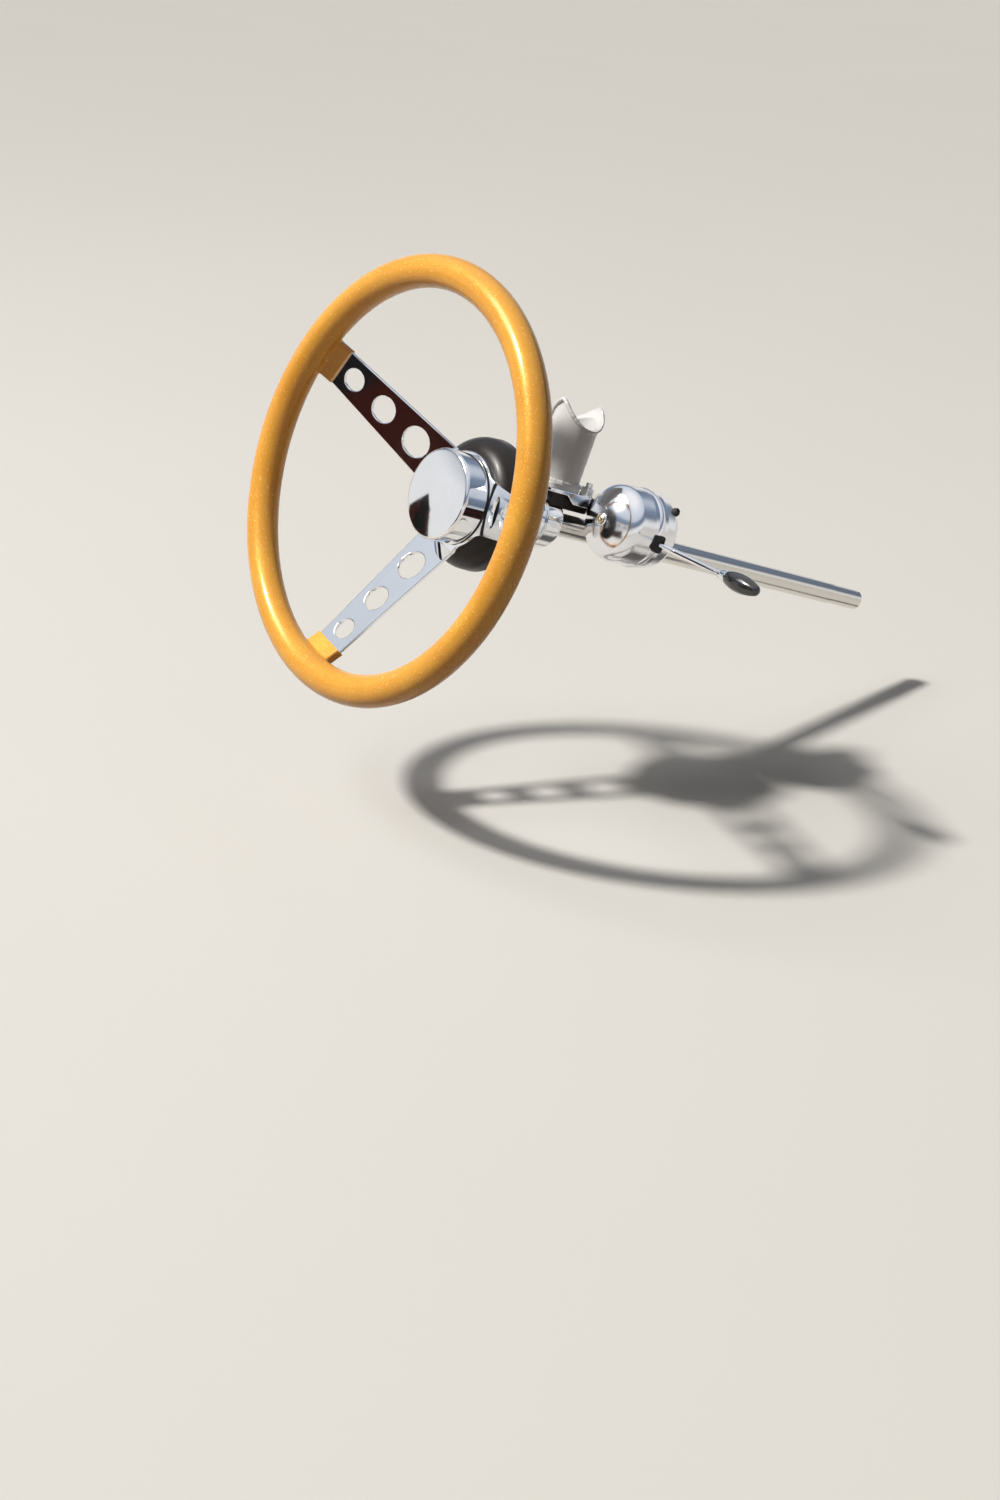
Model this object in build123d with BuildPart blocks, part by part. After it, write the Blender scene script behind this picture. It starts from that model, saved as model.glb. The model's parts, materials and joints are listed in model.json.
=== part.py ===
from math import atan2, cos, degrees, radians, sin, sqrt, tan
import os

from build123d import *

os.makedirs("parts", exist_ok=True)

# Where the column sits (mm). The row's origin is on the dash bar's axis, +X is the car's right,
# +Y is forward and +Z is up. Distances along the column count from the back face of the wheel's
# flat disc, towards the driver, so everything behind the disc is negative.
column_tilt = 19.5
bar_above_column = 99.5
bar_behind_disc = 85.5
bar_r = 19.05

# Rim (mm)
rim_r = 159.0
grip_r = 12.5
boss_reach = 19.7
boss_turn = 10.0
boss_wall = 2.5
boss_side = 1.0
boss_corner = 2.0
boss_fillet = 2.0

# Horn cap (mm)
cap_r = 35.8
cap_height = 21.8
cap_dome = 1.2
cap_shoulder = 2.4
cap_wall = 1.6
seat_height = 1.2
seat_width = 4.5
seat_inset = 0.6

# Spoke frame (mm): the bend lies just outside the cap, and the flat disc runs a little past it
wheel_turned = -10.5
arm_spread = 105.5
arm_slope = 27.6
arm_below_rim = 6.5
sheet = 3.0
bend_r = cap_r + 0.2
disc_r = cap_r + 2.2
root_inset = 12.8
arm_tip_half = 15.0
arm_short = 12.0
arm_fillet = 16.0
bolt_circle = 26.0
bolt_hole_r = 2.7
# share of the way from the disc to the boss, hole radius
arm_holes = [(0.24, 12.0), (0.567, 10.4), (0.867, 8.6)]

# Bell and hub (mm)
bell_root = 35.5
flare_r = 52.2
flare_depth = 16.5
bell_r = 52.5
bell_depth = 23.5
bell_wall = 2.0
flange_margin = 5.0
flange_thick = 5.0
hub_r = 17.0
hub_length = 29.5

# Shaft and its bearing (mm)
shaft_r = 9.525
shaft_top = 10.5
shaft_bottom = -487.5
coupling_r = 9.0
coupling_length = 40.0
end_chamfer = 1.0
running_gap = 0.06
jacket_r = 20.5
jacket_bore = 17.2
jacket_front = -44.5
jacket_length = 46.0
bush_length = 14.0
band_front = -72.5
band_length = 14.0
band_thick = 2.2

# Hanger, channel and saddle (mm)
stub_r = 19.05
stub_bore = 16.0
foot_top = 34.0
foot_half = 21.0
foot_corner = 6.0
web_top = 30.0
channel_wall = 3.0
channel_half = 23.0
channel_front = -63.5
channel_length = 78.0
flange_low = 21.0
flange_behind = 19.5
flange_slant = 9.0
saddle_half = 17.0
saddle_low = 15.2

# Turn switch (mm)
can_x = 47.0
can_u = 19.3
can_r = 31.8
can_seam = -139.5
can_front = 37.0
can_rear = 28.0
can_wall = 1.6
dome_r = 25.0
dome_drop = 7.0
cup_drop = 4.0
shoulder_r = 31.2
shoulder_at = 19.0
cup_dome_r = 24.0
cup_shoulder_r = 30.0
cup_shoulder_at = 17.0
ring_half = 7.0
ring_proud = 0.8
bead_half = 3.0
switch_clear = 1.0
lever_u = 15.5
slot_width = 7.0
slot_height = 14.0
slot_corner = 2.0
grommet_sunk = 4.8
grommet_length = 9.0
rod_r = 2.5
collar_r = 3.4
collar_length = 2.5
ferrule_r = 4.2
ferrule_length = 7.0
rod_length = 88.0
tip_neck_r = 5.4
tip_r = 7.5
tip_swell = 13.0
tip_run = 16.5
tip_nose_r = 4.5

# Reference planes and axes
right = Vector(1, 0, 0)
driver = Vector(0, -cos(radians(column_tilt)), sin(radians(column_tilt)))
lift = Vector(0, sin(radians(column_tilt)), cos(radians(column_tilt)))
disc_centre = lift * -bar_above_column + driver * bar_behind_disc
disc_plane = Plane(origin=disc_centre, x_dir=right, z_dir=driver)
# Half sections are drawn here: x is the radius and y runs along the column
half_plane = Plane(origin=disc_centre, x_dir=right, z_dir=lift * -1)
# Side views are drawn here: x runs along the column and y is downward
side_plane = Plane(origin=disc_centre, x_dir=driver, z_dir=right)
column_axis = Axis(disc_centre, driver)
diagonal = sqrt(0.5)


def place(x, u, z):
    return disc_centre + right * x + lift * u + driver * z


def ball_radius(r, drop):
    return (r * r + drop * drop) / (2 * abs(drop))


# Arc of a ball whose middle is on the axis, from its top out to radius r and down by drop
def crown(top, r, drop):
    ball = ball_radius(r, drop)
    half_drop = (ball - sqrt(ball * ball - r * r / 4)) * drop / abs(drop)
    return ThreePointArc((0, top), (r / 2, top - half_drop), (r, top - drop))


# Quarter arc that rounds the outer corner at (x, y)
def rounded(x, y, r):
    middle = r * (1 - diagonal)
    return ThreePointArc((x - r, y), (x - middle, y - middle), (x, y - r))


arm_root_half = cap_r - root_inset
arm_end = rim_r - arm_short
boss_end = rim_r - boss_reach

# The lower arm would point straight down with the wheel straight ahead
arm_angles = [270 + wheel_turned + side * arm_spread for side in (-1, 0, 1)]
arm_rise = tan(radians(arm_slope))
slope_stretch = 1 / cos(radians(arm_slope))
sheet_drop = sheet * slope_stretch
arm_apex = sheet_drop / 2 - bend_r * arm_rise
disc_to_rim = arm_apex + rim_r * arm_rise + arm_below_rim


# Plane of an arm's middle surface, x outward along the arm
def arm_plane(angle):
    out = right * cos(radians(angle)) + lift * sin(radians(angle))
    along = out * cos(radians(arm_slope)) + driver * sin(radians(arm_slope))
    face = driver * cos(radians(arm_slope)) - out * sin(radians(arm_slope))
    return Plane(origin=disc_centre + driver * arm_apex, x_dir=along, z_dir=face)


# Spoke frame: one pierced sheet, a flat disc in the middle and three arms that rise to the rim
with BuildPart() as spoke_frame:
    with BuildSketch(disc_plane) as plan:
        Circle(disc_r)
        for angle in arm_angles:
            with Locations(Rot(0, 0, angle)):
                Polygon(
                    (0, -arm_root_half), (arm_end, -arm_tip_half),
                    (arm_end, arm_tip_half), (0, arm_root_half), align=None,
                )
        fillet(plan.vertices().filter_by(lambda v: v.center().length < 2 * disc_r), arm_fillet)
    extrude(amount=disc_to_rim)
    for angle in arm_angles:
        with BuildSketch(arm_plane(angle).offset(-sheet / 2)):
            Rectangle(4 * rim_r, 4 * rim_r)
        extrude(amount=-rim_r, mode=Mode.SUBTRACT)
    add(spoke_frame.part.moved(Location(driver * sheet_drop)), mode=Mode.SUBTRACT)
    for angle in arm_angles:
        with BuildSketch(arm_plane(angle)):
            for share, hole_r in arm_holes:
                with Locations(((disc_r + share * (boss_end - disc_r)) * slope_stretch, 0)):
                    Circle(hole_r)
        extrude(amount=2 * sheet, both=True, mode=Mode.SUBTRACT)
    with BuildSketch(disc_plane):
        Circle(shaft_r)
        with PolarLocations(bolt_circle, 5):
            Circle(bolt_hole_r)
    extrude(amount=2 * sheet, mode=Mode.SUBTRACT)
spoke_frame.part.label = "spoke_frame"

# Rim: a round grip with a flat-ended boss cast on where each arm enters
with BuildPart() as rim_grip:
    with BuildSketch(half_plane):
        with Locations((rim_r, disc_to_rim)):
            Circle(grip_r)
    revolve(axis=column_axis)
    for angle in arm_angles:
        arm = arm_plane(angle)
        end_face = Plane(
            origin=arm.origin + arm.x_dir * boss_end * slope_stretch, x_dir=arm.y_dir, z_dir=arm.x_dir
        )
        with BuildSketch(end_face):
            RectangleRounded(2 * (arm_tip_half + boss_side), sheet + 2 * boss_wall, boss_corner)
        extrude(
            amount=(rim_r - boss_end) * slope_stretch,
            dir=arm.x_dir * cos(radians(boss_turn)) + arm.z_dir * sin(radians(boss_turn)),
        )
    boss_faces = rim_grip.faces().filter_by(GeomType.TORUS, reverse=True)
    ring_face = rim_grip.faces().sort_by(SortBy.AREA)[-1]
    fillet([edge for edge in ring_face.edges() if edge in boss_faces.edges()], boss_fillet)
    add(spoke_frame.part, mode=Mode.SUBTRACT)
rim_grip.part.label = "rim_grip"

# Cap seat: the dark ring under the cap
disc_front = sheet_drop
cap_foot = disc_front + seat_height
with BuildPart() as cap_seat:
    with BuildSketch(disc_plane.offset(disc_front)):
        Circle(cap_r - seat_inset)
        Circle(cap_r - seat_inset - seat_width, mode=Mode.SUBTRACT)
    extrude(amount=seat_height)
cap_seat.part.label = "cap_seat"

# Horn cap: a thin plated cup with a slightly domed face and a tight rounded shoulder
cap_top = disc_front + cap_height
with BuildPart() as horn_cap:
    with BuildSketch(half_plane):
        with BuildLine():
            crown(cap_top + cap_dome, cap_r - cap_shoulder, cap_dome)
            rounded(cap_r, cap_top, cap_shoulder)
            Line((cap_r, cap_top - cap_shoulder), (cap_r, cap_foot))
            Line((cap_r, cap_foot), (cap_r - cap_wall, cap_foot))
            Line((cap_r - cap_wall, cap_foot), (cap_r - cap_wall, cap_top - cap_shoulder))
            rounded(cap_r - cap_wall, cap_top - cap_wall, cap_shoulder - cap_wall)
            crown(cap_top + cap_dome - cap_wall, cap_r - cap_shoulder, cap_dome)
            Line((0, cap_top + cap_dome - cap_wall), (0, cap_top + cap_dome))
        make_face()
    revolve(axis=column_axis)
horn_cap.part.label = "horn_cap"

# Bell: the black flared shroud behind the wheel
flare_mid = bell_root + (flare_r - bell_root) * diagonal
flare_mid_depth = flare_depth * (1 - diagonal)
inner_step = bell_wall * diagonal
with BuildPart() as bell:
    with BuildSketch(half_plane):
        with BuildLine():
            Line((shaft_r, 0), (bell_root, 0))
            ThreePointArc((bell_root, 0), (flare_mid, -flare_mid_depth), (flare_r, -flare_depth))
            Line((flare_r, -flare_depth), (bell_r, -bell_depth))
            Line((bell_r, -bell_depth), (bell_r - bell_wall, -bell_depth))
            Line((bell_r - bell_wall, -bell_depth), (flare_r - bell_wall, -flare_depth))
            ThreePointArc(
                (flare_r - bell_wall, -flare_depth),
                (flare_mid - inner_step, -flare_mid_depth - inner_step),
                (bell_root, -bell_wall),
            )
            Line((bell_root, -bell_wall), (shaft_r, -bell_wall))
            Line((shaft_r, -bell_wall), (shaft_r, 0))
        make_face()
    revolve(axis=column_axis)
    with BuildSketch(disc_plane):
        with PolarLocations(bolt_circle, 5):
            Circle(bolt_hole_r)
    extrude(amount=-bell_wall, mode=Mode.SUBTRACT)
bell.part.label = "bell"

# Hub: a flange that clamps the bell to the disc, and a tapered boss pressed on the shaft
flange_r = bolt_circle + flange_margin
hub_top = -bell_wall
hub_back = hub_top - hub_length
with BuildPart() as hub:
    with BuildSketch(half_plane):
        Polygon(
            (shaft_r, hub_top), (flange_r, hub_top), (flange_r, hub_top - flange_thick), (hub_r, hub_back),
            (shaft_r, hub_back), align=None,
        )
    revolve(axis=column_axis)
    with BuildSketch(disc_plane.offset(hub_top)):
        with PolarLocations(bolt_circle, 5):
            Circle(bolt_hole_r)
    extrude(amount=-flange_thick, mode=Mode.SUBTRACT)
hub.part.label = "hub"

# Steering shaft, turned down at the bottom for the coupling
with BuildPart() as shaft:
    with BuildSketch(disc_plane.offset(shaft_top)):
        Circle(shaft_r)
    extrude(amount=shaft_bottom + coupling_length - shaft_top)
    with BuildSketch(disc_plane.offset(shaft_bottom)):
        Circle(coupling_r)
    extrude(amount=coupling_length)
    rings = shaft.edges().filter_by(GeomType.CIRCLE).sort_by(column_axis)
    chamfer([rings[0], rings[-1]], end_chamfer)
shaft.part.label = "shaft"

# Bearing jacket and its two bushes
jacket_back = jacket_front - jacket_length
with BuildPart() as jacket:
    with BuildSketch(disc_plane.offset(jacket_back)):
        Circle(jacket_r)
        Circle(jacket_bore, mode=Mode.SUBTRACT)
    extrude(amount=jacket_length)
jacket.part.label = "jacket"

for bush_name, start in [("bush_front", jacket_front - bush_length), ("bush_back", jacket_back)]:
    with BuildPart() as bush:
        with BuildSketch(disc_plane.offset(start)):
            Circle(jacket_bore)
            Circle(shaft_r + running_gap, mode=Mode.SUBTRACT)
        extrude(amount=bush_length)
    bush.part.label = bush_name
    export_step(bush.part, f"parts/{bush_name}.step")

# Band that holds the jacket
band_r = jacket_r + band_thick
band_plane = disc_plane.offset(band_front)
with BuildPart() as jacket_band:
    with BuildSketch(band_plane):
        Circle(band_r)
        Circle(jacket_r, mode=Mode.SUBTRACT)
    extrude(amount=-band_length)
jacket_band.part.label = "jacket_band"

# The turn switch stands on an axis beside the shaft
can_centre = place(can_x, can_u, can_seam)
can_plane = Plane(origin=can_centre, x_dir=right, z_dir=driver)
can_half = Plane(origin=can_centre, x_dir=right, z_dir=lift * -1)
can_axis = Axis(can_centre, driver)


# Half section of a round shell: a crown, a shoulder that carries on from it, and a side down to the ring
def shell_line(top, crown_r, drop, wide_r, wide_at, side_r, side_at):
    cap_line = crown(top, crown_r, drop)
    bend = TangentArc(cap_line @ 1, (wide_r, wide_at), tangent=cap_line % 1)
    Line(bend @ 1, (side_r, side_at))


# Room for the switch beside the channel and the saddle, a little wider than its dome
ring_r = can_r + ring_proud
with BuildPart() as switch_room:
    with BuildSketch(can_half):
        with BuildLine():
            shell_line(
                can_front + switch_clear, dome_r + switch_clear, dome_drop,
                shoulder_r + switch_clear, shoulder_at, ring_r + running_gap, ring_half,
            )
            Line((ring_r + running_gap, ring_half), (ring_r + running_gap, -can_rear))
            Line((ring_r + running_gap, -can_rear), (0, -can_rear))
            Line((0, -can_rear), (0, can_front + switch_clear))
        make_face()
    revolve(axis=can_axis)

# Saddle: the dark block between the channel and the jacket, run back to carry the switch
web_under = web_top - channel_wall
channel_back = channel_front - channel_length
with BuildPart() as saddle:
    with BuildSketch(disc_plane.offset(can_seam)):
        with Locations((0, (saddle_low + web_under) / 2)):
            Rectangle(2 * saddle_half, web_under - saddle_low)
        Circle(band_r, mode=Mode.SUBTRACT)
    extrude(amount=band_front - can_seam)
    add(switch_room.part, mode=Mode.SUBTRACT)
saddle.part.label = "saddle"

# Channel: the plated bracket under the hanger's foot, its flanges set back and slanted in front
channel_low = web_under - flange_low
with BuildPart() as channel:
    with BuildSketch(disc_plane.offset(channel_back)):
        with Locations((0, (flange_low + web_top) / 2)):
            Rectangle(2 * channel_half, web_top - flange_low)
        with Locations((0, flange_low + channel_low / 2)):
            Rectangle(2 * (channel_half - channel_wall), channel_low, mode=Mode.SUBTRACT)
    extrude(amount=channel_length)
    flange_front = channel_front - flange_behind
    with BuildSketch(side_plane):
        Polygon(
            (channel_front, -web_under), (flange_front, -web_under),
            (flange_front - flange_slant, -flange_low), (channel_front, -flange_low), align=None,
        )
    extrude(amount=channel_half, both=True, mode=Mode.SUBTRACT)
    add(switch_room.part, mode=Mode.SUBTRACT)
channel.part.label = "channel"

# Hanger's foot: the painted plate under the tube, square in front and round behind, clear of the nuts
foot_plane = Plane(origin=place(0, web_top, -bar_behind_disc), x_dir=right, z_dir=lift)
with BuildPart() as hanger_foot:
    with BuildSketch(foot_plane) as foot:
        Circle(foot_half)
        with Locations((0, -foot_half / 2)):
            Rectangle(2 * foot_half, foot_half)
        fillet(foot.vertices().sort_by(column_axis)[-2:], foot_corner)
    extrude(amount=foot_top - web_top)
hanger_foot.part.label = "hanger_foot"

# Hanger: painted tube from its foot to the dash bar, coped to sit on the bar
with BuildPart() as hanger:
    with BuildSketch(foot_plane.offset(foot_top - web_top)):
        Circle(stub_r)
        Circle(stub_bore, mode=Mode.SUBTRACT)
    extrude(amount=bar_above_column - foot_top)
    with BuildSketch(Plane.YZ):
        Circle(bar_r)
    extrude(amount=2 * stub_r, both=True, mode=Mode.SUBTRACT)
hanger.part.label = "hanger"

# Switch: front dome, rear cup and the ring between them
with BuildPart() as switch_front:
    with BuildSketch(can_half):
        with BuildLine():
            inner = 1 - can_wall / ball_radius(dome_r, dome_drop)
            shell_line(can_front, dome_r, dome_drop, shoulder_r, shoulder_at, can_r, ring_half)
            shell_line(
                can_front - can_wall, dome_r * inner, dome_drop * inner,
                shoulder_r - can_wall, shoulder_at, can_r - can_wall, ring_half,
            )
            Line((can_r, ring_half), (can_r - can_wall, ring_half))
            Line((0, can_front - can_wall), (0, can_front))
        make_face()
    revolve(axis=can_axis)
switch_front.part.label = "switch_front"

cup_r = can_r - ring_proud
with BuildPart() as switch_rear:
    with BuildSketch(can_half):
        with BuildLine():
            inner = 1 - can_wall / ball_radius(cup_dome_r, cup_drop)
            shell_line(-can_rear, cup_dome_r, -cup_drop, cup_shoulder_r, -cup_shoulder_at, cup_r, -ring_half)
            shell_line(
                can_wall - can_rear, cup_dome_r * inner, -cup_drop * inner,
                cup_shoulder_r - can_wall, -cup_shoulder_at, cup_r - can_wall, -ring_half,
            )
            Line((cup_r, -ring_half), (cup_r - can_wall, -ring_half))
            Line((0, can_wall - can_rear), (0, -can_rear))
        make_face()
    revolve(axis=can_axis)
switch_rear.part.label = "switch_rear"

lever_start = can_x + can_r - grommet_sunk
tip_start = lever_start + rod_length
lever_plane = Plane(origin=place(0, lever_u, can_seam), x_dir=driver, z_dir=right)
ring_bore = cup_r - 2 * can_wall
with BuildPart() as switch_band:
    with BuildSketch(can_half):
        with BuildLine():
            Line((ring_bore, -ring_half), (can_r, -ring_half))
            Line((can_r, -ring_half), (can_r, -bead_half))
            ThreePointArc((can_r, -bead_half), (ring_r, 0), (can_r, bead_half))
            Line((can_r, bead_half), (can_r, ring_half))
            Line((can_r, ring_half), (ring_bore, ring_half))
            Line((ring_bore, ring_half), (ring_bore, -ring_half))
        make_face()
    revolve(axis=can_axis)
    with BuildSketch(lever_plane.offset(can_x)):
        RectangleRounded(slot_width, slot_height, slot_corner)
    extrude(amount=2 * can_r, mode=Mode.SUBTRACT)
switch_band.part.label = "switch_band"

# Lever: grommet in the ring's slot, rod, ferrule and tip
with BuildPart() as lever_grommet:
    with BuildSketch(lever_plane.offset(lever_start)):
        RectangleRounded(slot_width, slot_height, slot_corner)
        Circle(rod_r, mode=Mode.SUBTRACT)
    extrude(amount=grommet_length)
lever_grommet.part.label = "lever_grommet"

with BuildPart() as lever_rod:
    with BuildSketch(lever_plane.offset(lever_start)):
        Circle(rod_r)
    extrude(amount=tip_start - lever_start)
lever_rod.part.label = "lever_rod"

# Half sections along the lever: x is the car's right and y is the radius
lever_half = Plane(origin=place(0, lever_u, can_seam), x_dir=right, z_dir=lift * -1)
lever_axis = Axis(place(0, lever_u, can_seam), right)
ferrule_start = tip_start - ferrule_length
collar_start = ferrule_start - collar_length
with BuildPart() as lever_ferrule:
    with BuildSketch(lever_half):
        Polygon(
            (collar_start, rod_r), (tip_start, rod_r), (tip_start, tip_neck_r), (ferrule_start, ferrule_r),
            (ferrule_start, collar_r), (collar_start, collar_r), align=None,
        )
    revolve(axis=lever_axis)
lever_ferrule.part.label = "lever_ferrule"

# Tip: swells from the ferrule, then a long arc runs into a small round nose
tip_wide_at = tip_start + tip_swell
nose_middle = tip_wide_at + tip_run
long_r = (tip_run ** 2 + tip_r ** 2 - tip_nose_r ** 2) / (2 * (tip_r - tip_nose_r))
nose_turn = degrees(atan2(long_r - tip_r, tip_run))
nose_start = (
    nose_middle + tip_nose_r * cos(radians(nose_turn)), tip_nose_r * sin(radians(nose_turn))
)
with BuildPart() as lever_tip:
    with BuildSketch(lever_half):
        with BuildLine():
            Line((tip_start, 0), (tip_start, tip_neck_r))
            TangentArc((tip_wide_at, tip_r), (tip_start, tip_neck_r), tangent=(-1, 0))
            TangentArc((tip_wide_at, tip_r), nose_start, tangent=(1, 0))
            CenterArc((nose_middle, 0), tip_nose_r, 0, nose_turn)
            Line((nose_middle + tip_nose_r, 0), (tip_start, 0))
        make_face()
    revolve(axis=lever_axis)
lever_tip.part.label = "lever_tip"

for piece in [
    spoke_frame, rim_grip, horn_cap, cap_seat, bell, hub, shaft, jacket, jacket_band, saddle,
    channel, hanger_foot, hanger, switch_front, switch_rear, switch_band, lever_grommet,
    lever_rod, lever_ferrule, lever_tip,
]:
    export_step(piece.part, f"parts/{piece.part.label}.step")
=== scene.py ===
import json
import math
import bmesh
import bpy
from mathutils import Matrix, Vector, noise


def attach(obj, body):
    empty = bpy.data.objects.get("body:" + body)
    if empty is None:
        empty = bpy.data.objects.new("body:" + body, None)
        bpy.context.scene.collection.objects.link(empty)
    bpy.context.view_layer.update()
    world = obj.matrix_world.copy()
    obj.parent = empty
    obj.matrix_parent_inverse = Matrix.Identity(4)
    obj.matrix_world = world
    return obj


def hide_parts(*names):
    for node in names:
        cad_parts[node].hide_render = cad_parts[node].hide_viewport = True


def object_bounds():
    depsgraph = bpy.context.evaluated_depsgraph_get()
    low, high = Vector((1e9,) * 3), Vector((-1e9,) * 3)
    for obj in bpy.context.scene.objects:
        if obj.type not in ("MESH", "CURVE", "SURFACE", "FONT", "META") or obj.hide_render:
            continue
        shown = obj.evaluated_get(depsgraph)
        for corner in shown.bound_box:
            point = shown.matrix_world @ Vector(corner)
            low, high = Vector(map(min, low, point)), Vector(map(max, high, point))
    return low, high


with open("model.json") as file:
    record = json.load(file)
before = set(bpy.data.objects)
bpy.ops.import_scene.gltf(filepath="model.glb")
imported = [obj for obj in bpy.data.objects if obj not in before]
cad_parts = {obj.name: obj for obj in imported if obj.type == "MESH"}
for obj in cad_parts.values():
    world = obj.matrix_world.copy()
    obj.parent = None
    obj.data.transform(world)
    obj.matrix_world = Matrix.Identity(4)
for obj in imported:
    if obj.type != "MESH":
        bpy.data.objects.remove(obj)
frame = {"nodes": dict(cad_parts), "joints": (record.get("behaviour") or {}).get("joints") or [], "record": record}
cadBox = [list(corner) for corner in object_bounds()]
print("frame loaded:", len(frame["nodes"]), "nodes")

# The column's own directions: x to the right, u up, z towards the driver, in metres,
# counted from the back face of the wheel's flat disc
columnJoint = frame["joints"][0]
driverWay = Vector(columnJoint["axis"]).normalized()
rightWay = Vector((1, 0, 0))
liftWay = driverWay.cross(rightWay).normalized()
rimMiddle = Vector(columnJoint["pos_m"])
discToRim = 0.0725
discMiddle = rimMiddle - driverWay * discToRim


def columnPoint(x, u, z):
    return discMiddle + rightWay * x + liftWay * u + driverWay * z


# Matrix that stands a piece built along +Z on a point, pointing along a direction
def standing(point, direction, turn=0.0):
    up = Vector(direction).normalized()
    side = rightWay if abs(up.dot(rightWay)) < 0.9 else liftWay
    side = (side - up * side.dot(up)).normalized()
    across = up.cross(side)
    basis = Matrix((side, across, up)).transposed().to_4x4()
    return Matrix.Translation(point) @ basis @ Matrix.Rotation(turn, 4, "Z")


# Shader helpers
floatKind, colorKind, vectorKind = "NodeSocketFloat", "NodeSocketColor", "NodeSocketVector"


def newGroup(name, inputs, outputs):
    group = bpy.data.node_groups.new(name, "ShaderNodeTree")
    for label, kind, value in inputs:
        socket = group.interface.new_socket(name=label, in_out="INPUT", socket_type=kind)
        socket.default_value = value
    for label, kind in outputs:
        group.interface.new_socket(name=label, in_out="OUTPUT", socket_type=kind)
    return group, group.nodes.new("NodeGroupInput"), group.nodes.new("NodeGroupOutput")


def addNode(tree, kind, settings=None, **values):
    node = tree.nodes.new(kind)
    for key, value in (settings or {}).items():
        setattr(node, key, value)
    for key, value in values.items():
        node.inputs[key.replace("_", " ")].default_value = value
    return node


# Texture or mapping node that follows the object's own coordinates
def objectNode(tree, kind, **values):
    coords = addNode(tree, "ShaderNodeTexCoord")
    node = addNode(tree, kind, **values)
    tree.links.new(coords.outputs["Object"], node.inputs["Vector"])
    return node


def mathNode(tree, operation, first, second, clamp=False):
    node = addNode(tree, "ShaderNodeMath", {"operation": operation, "use_clamp": clamp})
    tree.links.new(first, node.inputs[0])
    tree.links.new(second, node.inputs[1])
    return node.outputs[0]


# Stretches the part of a value between low and high
def rangeNode(tree, value, low, high):
    node = addNode(tree, "ShaderNodeMapRange", From_Min=low, From_Max=high)
    tree.links.new(value, node.inputs["Value"])
    return node


def splitColor(tree, color):
    node = addNode(tree, "ShaderNodeSeparateColor")
    tree.links.new(color, node.inputs["Color"])
    return node


# Two colours by a mask; each is a plain colour or another node's socket
def mixColors(tree, mask, first, second):
    mixed = addNode(tree, "ShaderNodeMix", {"data_type": "RGBA"})
    tree.links.new(mask, mixed.inputs[0])
    for place, color in ((6, first), (7, second)):  # the node's two colour inputs
        if isinstance(color, bpy.types.NodeSocket):
            tree.links.new(color, mixed.inputs[place])
        else:
            mixed.inputs[place].default_value = (*color, 1)
    return mixed.outputs[2]


def rampNode(tree, factor, stops):
    ramp = tree.nodes.new("ShaderNodeValToRGB")
    elements = ramp.color_ramp.elements
    while len(elements) < len(stops):
        elements.new(0.5)
    for element, (place, color) in zip(elements, stops):
        element.position = place
        element.color = (*color, 1)
    tree.links.new(factor, ramp.inputs["Fac"])
    return ramp


# Cast-in metal flakes: a fine shimmer all over, and a few larger flakes painted pale as painted glints, the same
# in light and in shade
def buildFlakeGroup():
    group, given, out = newGroup(
        "metal flakes",
        [
            ("Flake Size", floatKind, 3000.0), ("Sparkle Size", floatKind, 1200.0),
            ("Sparkle Share", floatKind, 0.05), ("Shimmer", floatKind, 0.2), ("Tilt", floatKind, 0.15),
            ("Body Color", colorKind, (0.7, 0.3, 0.04, 1)), ("Flake Color", colorKind, (1, 0.7, 0.25, 1)),
            ("Deep Color", colorKind, (0.35, 0.1, 0.01, 1)),
        ],
        [("Color", colorKind), ("Normal", vectorKind)],
    )
    link = group.links.new
    cloud = objectNode(group, "ShaderNodeTexNoise", Scale=30.0, Detail=3.0)
    depth = mixColors(group, cloud.outputs["Fac"], given.outputs["Deep Color"], given.outputs["Body Color"])
    # every flake has its own colour value, read as a brightness and as a tilt
    fine = objectNode(group, "ShaderNodeTexVoronoi")
    link(given.outputs["Flake Size"], fine.inputs["Scale"])
    fineSplit = splitColor(group, fine.outputs["Color"])
    shimmer = mathNode(group, "MULTIPLY", fineSplit.outputs["Green"], given.outputs["Shimmer"])
    # a few larger flakes take the pale flake colour: painted glints that no lamp lights
    large = objectNode(group, "ShaderNodeTexVoronoi")
    link(given.outputs["Sparkle Size"], large.inputs["Scale"])
    largeSplit = splitColor(group, large.outputs["Color"])
    shown = mathNode(group, "LESS_THAN", largeSplit.outputs["Red"], given.outputs["Sparkle Share"])
    paintedGlint = mathNode(group, "MULTIPLY", shown, largeSplit.outputs["Green"])
    grainAndPaintedGlint = mathNode(group, "ADD", shimmer, paintedGlint, clamp=True)
    # fine flakes add random grain; the larger ones add the painted glints
    link(mixColors(group, grainAndPaintedGlint, depth, given.outputs["Flake Color"]), out.inputs["Color"])
    lean = addNode(group, "ShaderNodeVectorMath", {"operation": "SUBTRACT"})
    link(fine.outputs["Color"], lean.inputs[0])
    lean.inputs[1].default_value = (0.5, 0.5, 0.5)
    scaled = addNode(group, "ShaderNodeVectorMath", {"operation": "SCALE"})
    link(lean.outputs[0], scaled.inputs[0])
    link(given.outputs["Tilt"], scaled.inputs["Scale"])
    geometry = addNode(group, "ShaderNodeNewGeometry")
    added = addNode(group, "ShaderNodeVectorMath", {"operation": "ADD"})
    link(geometry.outputs["Normal"], added.inputs[0])
    link(scaled.outputs[0], added.inputs[1])
    unit = addNode(group, "ShaderNodeVectorMath", {"operation": "NORMALIZE"})
    link(added.outputs[0], unit.inputs[0])
    link(unit.outputs[0], out.inputs["Normal"])
    return group


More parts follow.
